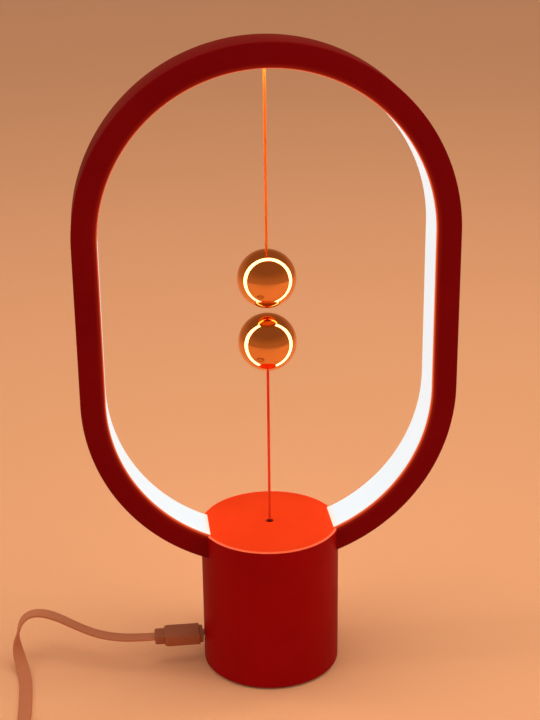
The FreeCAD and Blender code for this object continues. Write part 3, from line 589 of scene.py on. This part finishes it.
def loop_mesh(points, closed=True):
    """A mesh of edges only, through these points."""
    edges = [(number, number + 1) for number in range(len(points) - 1)]
    if closed:
        edges.append((len(points) - 1, 0))
    mesh = bpy.data.meshes.new("outline")
    mesh.from_pydata(points, edges, [])
    return mesh


# Ring path: the C's outer line from its left end over the crown to its right end, with its outward way.
ring_sizes = [
    ("Outer Radius", "Float", ring_radius),
    ("Straight", "Float", ring_straight),
    ("Low Centre", "Float", ring_low),
    ("End Angle", "Float", ring_end_angle),
    ("Steps", "Int", ring_steps),
]
ring_path, given, result = new_group(
    "GeometryNodeTree", "ring_path", ring_sizes, [("Path", "Geometry"), ("Outward", "Vector")]
)
outer = given.outputs["Outer Radius"]
straight = given.outputs["Straight"]
start_line = put(ring_path, "GeometryNodeMeshLine", {"Count": given.outputs["Steps"]})
line_curve = put(ring_path, "GeometryNodeMeshToCurve", {"Mesh": start_line.outputs["Mesh"]})
step = calc(ring_path, "SUBTRACT", given.outputs["Steps"], 1.0)
share = calc(ring_path, "DIVIDE", put(ring_path, "GeometryNodeInputIndex").outputs[0], step)
turned_through = calc(ring_path, "SUBTRACT", math.pi, given.outputs["End Angle"])
half_length = calc(ring_path, "ADD", calc(ring_path, "MULTIPLY", turned_through, outer), straight)
travel = calc(ring_path, "MULTIPLY", calc(ring_path, "MULTIPLY_ADD", share, 2.0, -1.0), half_length)
distance = calc(ring_path, "ABSOLUTE", travel)
quarter = calc(ring_path, "MULTIPLY", outer, math.pi / 2)
past_quarter = calc(ring_path, "SUBTRACT", distance, quarter)
drop = calc(ring_path, "MINIMUM", calc(ring_path, "MAXIMUM", past_quarter, 0.0), straight)
angle = calc(ring_path, "DIVIDE", calc(ring_path, "SUBTRACT", distance, drop), outer)
side = calc(ring_path, "SIGN", travel)
out_x = calc(ring_path, "MULTIPLY", side, calc(ring_path, "SINE", angle))
out_z = calc(ring_path, "COSINE", angle)
outward = put(ring_path, "ShaderNodeCombineXYZ", {"X": out_x, "Z": out_z}).outputs[0]
high_centre = calc(ring_path, "ADD", given.outputs["Low Centre"], straight)
centre_z = calc(ring_path, "SUBTRACT", high_centre, drop)
place_x = calc(ring_path, "MULTIPLY", out_x, outer)
place_z = calc(ring_path, "MULTIPLY_ADD", out_z, outer, centre_z)
place = put(ring_path, "ShaderNodeCombineXYZ", {"X": place_x, "Z": place_z}).outputs[0]
laid = put(ring_path, "GeometryNodeSetPosition", {"Geometry": line_curve.outputs[0], "Position": place})
feed(ring_path, result.inputs["Path"], laid.outputs[0])
feed(ring_path, result.inputs["Outward"], outward)

# Ring sweep: carries a section round the ring path. The section's X is outward, so a depth into the
# ring is a negative X, and its Y is across the ring.
ring_sweep, given, result = new_group(
    "GeometryNodeTree",
    "ring_sweep",
    [("Geometry", "Geometry", None), *ring_sizes, ("Material", "Material", None)],
    [("Geometry", "Geometry")],
)
route = put(ring_sweep, "GeometryNodeGroup", node_tree=ring_path)
for socket in route.inputs:
    feed(ring_sweep, socket, given.outputs[socket.name])
steered = put(
    ring_sweep,
    "GeometryNodeSetCurveNormal",
    {"Curve": route.outputs["Path"], "Normal": route.outputs["Outward"]},
    mode="FREE",
)
section = put(ring_sweep, "GeometryNodeMeshToCurve", {"Mesh": given.outputs["Geometry"]})
swept = put(
    ring_sweep,
    "GeometryNodeCurveToMesh",
    {"Curve": steered.outputs[0], "Profile Curve": section.outputs[0], "Fill Caps": True},
)
end_tree(ring_sweep, result, swept.outputs[0], given.outputs["Material"])


def rounded(corners, radius):
    """An outline whose corners marked True are rounded by radius; each corner is x, y and the mark."""
    steps = 4
    points = []
    for number, (x, y, soft) in enumerate(corners):
        here = Vector((x, y, 0))
        if not soft:
            points.append(here)
            continue
        before = Vector((*corners[number - 1][:2], 0))
        after = Vector((*corners[(number + 1) % len(corners)][:2], 0))
        way_in = (before - here).normalized()
        way_out = (after - here).normalized()
        centre = here + radius * (way_in + way_out)
        for step in range(steps + 1):
            turn = math.pi / 2 * step / steps
            points.append(centre - radius * (way_out * math.cos(turn) + way_in * math.sin(turn)))
    return points


half = ring_depth / 2
ring_section = rounded(
    [
        (0.0, -half, True),
        (0.0, half, True),
        (-ring_width, half, True),
        (-ring_width, channel_half, False),
        (-channel_depth, channel_half, False),
        (-channel_depth, shoulder_half, False),
        (-ring_web, shoulder_half, False),
        (-ring_web, -shoulder_half, False),
        (-channel_depth, -shoulder_half, False),
        (-channel_depth, -channel_half, False),
        (-ring_width, -channel_half, False),
        (-ring_width, -half, True),
    ],
    ring_edge,
)

ring_red = moulded("ring_red", shade(126, 2, 5), shade(120, 1, 4), 0.5, 2400.0, shine=0.05)
tree = ring_red.node_tree
shader = tree.nodes["Principled BSDF"]
here = place_in(tree)
level = put(tree, "ShaderNodeClamp", {"Value": here["Z"], "Min": ring_low, "Max": ring_high}).outputs[0]
rise = calc(tree, "SUBTRACT", here["Z"], level)
squares = calc(tree, "ADD", calc(tree, "POWER", here["X"], 2.0), calc(tree, "POWER", rise, 2.0))
depth_here = calc(tree, "SUBTRACT", ring_radius, calc(tree, "SQRT", squares))
# Painted glow: emission on the lips and the faces next to them stands for the strip's light showing through
# the plastic.
faint_start, lip_start, lip_full = 0.0106, 0.0129, 0.0135
faint_glow, full_glow = (0.1, 0.008, 0.002), (0.42, 0.055, 0.01)
painted_glow_near_lip = blend_colours(tree, span(tree, depth_here, faint_start, ring_width), (0.0, 0.0, 0.0), faint_glow)
painted_lip_glow = blend_colours(tree, span(tree, depth_here, lip_start, lip_full), painted_glow_near_lip, full_glow)
feed(tree, shader.inputs["Emission Color"], painted_lip_glow)
shader.inputs["Emission Strength"].default_value = 1.0
ring_mesh = grown(ring_sweep, loop_mesh(ring_section), {"Material": ring_red})
fit_piece("ring", ring_mesh, None, "lamp_body", "ring_plastic", "ring_frame")

# Light strip. A frosted channel cover, pressed into the ring all round and lit evenly from behind, a
# little warmer along its edges and where it dips into the base. It looks about as bright as white
# paper, and casts more light than that on what stands round it.

diffuser_face = 0.014
diffuser_half = 0.01325
diffuser_gap_half = 0.029
diffuser_angle = math.asin(diffuser_gap_half / (ring_radius - diffuser_face))
diffuser_steps = 300
strip_seen, strip_cast = 0.8, 7.0
diffuser_section = rounded(
    [
        (-channel_depth, -diffuser_half, False),
        (-channel_depth, diffuser_half, False),
        (-diffuser_face, diffuser_half, True),
        (-diffuser_face, -diffuser_half, True),
    ],
    0.0003,
)
frosted, tree, shader = new_material("frosted_light")
texture = put(tree, "ShaderNodeGroup", {"Grain Scale": 1500.0}, node_tree=moulded_grain).outputs
here = place_in(tree)
from_middle = calc(tree, "ABSOLUTE", here["Y"])
edge_start, edge_full = 0.0118, 0.0127
rim_start, rim_full = 0.01275, 0.01305
dip_start, dip_full = 0.0906, 0.0891
edge = span(tree, from_middle, edge_start, edge_full)
dip = span(tree, here["Z"], dip_start, dip_full, 0.0, 0.7)
warm = calc(tree, "MAXIMUM", edge, dip)
glow = blend_colours(tree, warm, (0.88, 0.94, 0.97), (0.98, 0.80, 0.56))
glow = blend_colours(tree, span(tree, from_middle, rim_start, rim_full), glow, (0.85, 0.16, 0.05))
milky = blend_colours(tree, texture["Tone"], (0.16, 0.16, 0.16), (0.14, 0.14, 0.14))
feed(tree, shader.inputs["Base Color"], milky)
feed(tree, shader.inputs["Emission Color"], glow)
ray = put(tree, "ShaderNodeLightPath")
cast = calc(tree, "MULTIPLY_ADD", ray.outputs["Is Camera Ray"], strip_seen - strip_cast, strip_cast)
feed(tree, shader.inputs["Emission Strength"], cast)
shader.inputs["Roughness"].default_value = 0.6
shader.inputs["Specular IOR Level"].default_value = 0.2
diffuser_sizes = {"End Angle": diffuser_angle, "Steps": diffuser_steps, "Material": frosted}
diffuser_mesh = grown(ring_sweep, loop_mesh(diffuser_section), diffuser_sizes)
fit_piece("light_strip", diffuser_mesh, None, "lamp_body", "frosted_white", "diffuser")

# Balls. Two hollow balls in polished gold metal, each of two halves pressed together at a hair-thin
# seam, with a small bore for the cord at one pole and a magnet behind the other.

ball_radius = 0.01635
ball_wall = 0.0015
bore_radius = 0.00095
seam_depth = 0.00004
seam_half = 0.00007


def turned(profile, steps, level, flip):
    """A shape turned about the upright axis. Its profile, radius and height, starts and ends there."""
    shape = bmesh.new()
    rings = []
    for radius, height in profile:
        z = level + flip * height
        if radius < 1e-9:
            rings.append([shape.verts.new((0, 0, z))])
            continue
        ring_points = []
        for number in range(steps):
            turn = 2 * math.pi * number / steps
            ring_points.append(shape.verts.new((radius * math.cos(turn), radius * math.sin(turn), z)))
        rings.append(ring_points)
    for first, second in zip(rings, rings[1:]):
        for number in range(steps):
            following = (number + 1) % steps
            if len(first) == 1:
                shape.faces.new((first[0], second[number], second[following]))
            elif len(second) == 1:
                shape.faces.new((first[number], first[following], second[0]))
            else:
                shape.faces.new((first[number], first[following], second[following], second[number]))
    bmesh.ops.recalc_face_normals(shape, faces=shape.faces)
    mesh = bpy.data.meshes.new("turned")
    shape.to_mesh(mesh)
    shape.free()
    return mesh


def ball_profile():
    """A hollow ball's profile: from the magnet's pole over the seam to the bore, and back inside."""
    points = [(0.0, -ball_radius)]
    steps, inner_steps = 60, 24
    bore_lead_in, bore_chamfer = 0.012, 0.0001
    top_angle = math.acos(bore_radius / ball_radius) - bore_lead_in
    for number in range(1, steps):
        angle = -math.pi / 2 + (top_angle + math.pi / 2) * number / steps
        if abs(ball_radius * math.sin(angle)) > 2 * seam_half:
            points.append((ball_radius * math.cos(angle), ball_radius * math.sin(angle)))
        elif (ball_radius, -seam_half) not in points:
            points += [(ball_radius, -seam_half), (ball_radius - seam_depth, 0.0), (ball_radius, seam_half)]
    points.append((ball_radius * math.cos(top_angle), ball_radius * math.sin(top_angle)))
    points.append((bore_radius, ball_radius * math.sin(top_angle) - bore_chamfer))
    inside = ball_radius - ball_wall
    inner_angle = math.acos(bore_radius / inside)
    points.append((bore_radius, inside * math.sin(inner_angle)))
    for number in range(1, inner_steps):
        angle = inner_angle - (inner_angle + math.pi / 2) * number / inner_steps
        points.append((inside * math.cos(angle), inside * math.sin(angle)))
    points.append((0.0, -inside))
    return points


gold = plated("gold_metal", (0.93, 0.42, 0.13), (0.91, 0.4, 0.12), 0.045, 500.0, 0.0000002)
upper_ball_z = 0.2367
lower_ball_z = 0.1998
ball_steps = 112
for name, level, flip in (("upper", upper_ball_z, 1), ("lower", lower_ball_z, -1)):
    mesh = turned(ball_profile(), ball_steps, level, flip)
    ball = name + "_ball"
    fit_piece(ball, mesh, gold, ball, "gold_metal", ball + "_cord_half", ball + "_magnet_half")
magnet_finish = plated("magnet_nickel", (0.66, 0.66, 0.67), (0.58, 0.58, 0.59), 0.2)
dress(magnet_finish, "upper_ball_magnet", "lower_ball_magnet")

# Cords. A thin braided cord holds each ball: the upper one hangs from the ring's crown, the lower one
# comes up through the base's cap. Four strands run each way round and pass over and under.

cord_radius = 0.0009
braid, given, result = new_group(
    "GeometryNodeTree",
    "braided_cord",
    [
        ("Geometry", "Geometry", None),
        ("Cord Radius", "Float", cord_radius),
        ("Strand Radius", "Float", 0.00027),
        ("Weave Depth", "Float", 0.00012),
        ("Lay", "Float", 0.0062),
        ("Strands Each Way", "Int", 4),
        ("Points", "Int", 260),
        ("Material", "Material", None),
    ],
    [("Geometry", "Geometry")],
)
strand_count = given.outputs["Strands Each Way"]
strand_radius = given.outputs["Strand Radius"]
weave_depth = given.outputs["Weave Depth"]
line = put(braid, "GeometryNodeMeshToCurve", {"Mesh": given.outputs["Geometry"]}).outputs[0]
fine = put(braid, "GeometryNodeResampleCurve", {"Curve": line, "Count": given.outputs["Points"]}).outputs[0]
both_ways = calc(braid, "MULTIPLY", strand_count, 2.0)
copies = put(braid, "GeometryNodeDuplicateElements", {"Geometry": fine, "Amount": both_ways}, domain="SPLINE")
number = copies.outputs["Duplicate Index"]
way = calc(braid, "MULTIPLY_ADD", calc(braid, "MODULO", number, 2.0), -2.0, 1.0)
place_round = calc(braid, "FLOOR", calc(braid, "DIVIDE", number, 2.0))
phase = calc(braid, "DIVIDE", calc(braid, "MULTIPLY", place_round, 2 * math.pi), strand_count)
along = put(braid, "GeometryNodeSplineParameter").outputs["Length"]
turned_by = calc(braid, "DIVIDE", calc(braid, "MULTIPLY", along, 2 * math.pi), given.outputs["Lay"])
angle = calc(braid, "ADD", phase, calc(braid, "MULTIPLY", way, turned_by))
wave = calc(braid, "COSINE", calc(braid, "MULTIPLY", turned_by, strand_count))
inside_strands = calc(braid, "SUBTRACT", given.outputs["Cord Radius"], strand_radius)
middle = calc(braid, "SUBTRACT", inside_strands, weave_depth)
over_under = calc(braid, "MULTIPLY", calc(braid, "MULTIPLY", way, weave_depth), wave)
radius = calc(braid, "ADD", middle, over_under)
normal = put(braid, "GeometryNodeInputNormal").outputs["Normal"]
tangent = put(braid, "GeometryNodeInputTangent").outputs[0]
crossways = put(braid, "ShaderNodeVectorMath", {0: tangent, 1: normal}, operation="CROSS_PRODUCT").outputs[0]
sides = []
for direction, operation in ((normal, "COSINE"), (crossways, "SINE")):
    reach_out = calc(braid, "MULTIPLY", radius, calc(braid, operation, angle))
    side = put(braid, "ShaderNodeVectorMath", {0: direction, "Scale": reach_out}, operation="SCALE")
    sides.append(side.outputs[0])
offset = put(braid, "ShaderNodeVectorMath", dict(enumerate(sides)), operation="ADD").outputs[0]
strands = put(braid, "GeometryNodeSetPosition", {"Geometry": copies.outputs["Geometry"], "Offset": offset})


def tube_along(tree, line, sides, radius):
    """A closed tube round a curve."""
    circle = put(tree, "GeometryNodeCurvePrimitiveCircle", {"Resolution": sides, "Radius": radius})
    inputs = {"Curve": line, "Profile Curve": circle.outputs[0], "Fill Caps": True}
    return put(tree, "GeometryNodeCurveToMesh", inputs).outputs[0]


strand_tubes = tube_along(braid, strands.outputs[0], sides=6, radius=strand_radius)
core = tube_along(braid, line, sides=10, radius=middle)
whole = put(braid, "GeometryNodeJoinGeometry")
braid.links.new(strand_tubes, whole.inputs[0])
braid.links.new(core, whole.inputs[0])
end_tree(braid, result, whole.outputs[0], given.outputs["Material"])


def cord_finish(name, light, dark):
    """Woven cord in two near shades, with the soft sheen of its fibres."""
    material = moulded(name, light, dark, 0.75, 6000.0, 0.00002, 0.1)
    shader = material.node_tree.nodes["Principled BSDF"]
    shader.inputs["Sheen Weight"].default_value = 0.5
    shader.inputs["Sheen Roughness"].default_value = 0.4
    shader.inputs["Sheen Tint"].default_value = (*shade(255, 120, 70), 1.0)
    return material


lower_cord_finish = cord_finish("lower_cord", shade(224, 56, 6), shade(208, 44, 4))
upper_cord_finish = cord_finish("upper_cord", shade(238, 112, 22), shade(226, 96, 16))
lower_cord_start, upper_cord_start = 0.0900, 0.3512
held_in_ball = 0.004
for name, finish, start, end in (
    ("lower", lower_cord_finish, lower_cord_start, lower_ball_z - ball_radius + held_in_ball),
    ("upper", upper_cord_finish, upper_cord_start, upper_ball_z + ball_radius - held_in_ball),
):
    levels = [start, (2 * start + end) / 3, (start + 2 * end) / 3, end]
    line = smooth_line([(0, 0, level) for level in levels], steps=8)
    mesh = grown(braid, loop_mesh(line, closed=False), {"Material": finish})
    cord = fit_piece(name + "_ball_string", mesh, None, name + "_ball", "braided_cord", name + "_cord")
dress(lower_cord_finish, "lower_cord_tail")
dress(upper_cord_finish, "upper_cord_knot")

# Base. A moulded drum in satin red, slotted for the ring's ends, over a foam foot, with a painted
# highlight on the narrow chamfer round its top. The flush cap that closes it is a brighter and more
# orange red, which is painted light: it stands for the strip's light falling on the cap.

base_red = moulded("base_red", shade(153, 3, 5), shade(146, 2, 4), 0.48, 2200.0, shine=0.05)
tree = base_red.node_tree
shader = tree.nodes["Principled BSDF"]
side_red = shader.inputs["Base Color"].links[0].from_socket
# Painted highlight: the chamfer round the top is a light orange that stands for the strip's light catching
# it.
chamfer_start, chamfer_full = 0.08825, 0.08845
chamfer_highlight_share = span(tree, place_in(tree)["Z"], chamfer_start, chamfer_full)
side_red_with_highlight = blend_colours(tree, chamfer_highlight_share, side_red, shade(250, 100, 62))
feed(tree, shader.inputs["Base Color"], side_red_with_highlight)
dress(base_red, "base_shell")
# Painted light: the cap is the drum's red plastic, painted brighter and more orange to stand for the strip's
# light falling on it.
strip_lit_cap_red = moulded("strip_lit_cap_red", shade(213, 51, 6), shade(207, 46, 4), 0.5, 2200.0, shine=0.04)
dress(strip_lit_cap_red, "top_cap")
# Painted shade: the guide bush and the lower cord's knot, which sit in the cap's hole, are a dark red that
# stands for the shade inside the hole.
hole_shade_finish = moulded("hole_shade_red", shade(96, 8, 5), shade(76, 6, 4), 0.5, shine=0.1)
dress(hole_shade_finish, "guide_bush", "lower_cord_knot")
foam = moulded("foam_rubber", (0.05, 0.05, 0.05), (0.035, 0.035, 0.035), 0.9, 1200.0, 0.0001)
dress(foam, "foot_pad")

# Parts inside the ring and the base. Plain moulded and pressed stock, each in the finish of its own
# material: the switch and its frame, the circuit board, the LED strip, the ballast and the screws.

white = moulded("white_plastic", (0.8, 0.8, 0.78), (0.74, 0.74, 0.72), 0.45)
acetal = moulded("acetal", (0.82, 0.81, 0.78), (0.76, 0.75, 0.72), 0.3)
flex = moulded("flex_circuit", (0.85, 0.85, 0.82), (0.78, 0.78, 0.75), 0.4)
led = moulded("led_package", (0.9, 0.82, 0.35), (0.85, 0.75, 0.3), 0.3)
inner_red = moulded("red_plastic", (0.5, 0.03, 0.02), (0.44, 0.025, 0.018), 0.45)
board = moulded("circuit_board", (0.02, 0.16, 0.06), (0.015, 0.13, 0.05), 0.35)
parts = moulded("board_parts", (0.05, 0.05, 0.06), (0.04, 0.04, 0.045), 0.35)
steel = plated("steel", (0.55, 0.55, 0.56), (0.48, 0.48, 0.49), 0.32)
tinned = plated("tinned", (0.7, 0.7, 0.68), (0.6, 0.6, 0.58), 0.35)
spring_steel = plated("spring_steel", (0.45, 0.45, 0.47), (0.4, 0.4, 0.42), 0.28)
iron = plated("ballast_iron", (0.2, 0.2, 0.21), (0.15, 0.15, 0.16), 0.5, 400.0, 0.00002)
by_slot = {
    "white_plastic": white,
    "acetal": acetal,
    "flex_circuit": flex,
    "led_package": led,
    "red_plastic": inner_red,
    "black_plastic": black,
    "circuit_board": board,
    "board_parts": parts,
    "steel": steel,
    "spring_steel": spring_steel,
    "ballast_iron": iron,
    "nickel_steel": nickel,
    "tinned": tinned,
}
for row in frame["record"]["subparts"]:
    if row["node"] not in dressed and row["material_slot"] in by_slot:
        dress(by_slot[row["material_slot"]], row["node"])
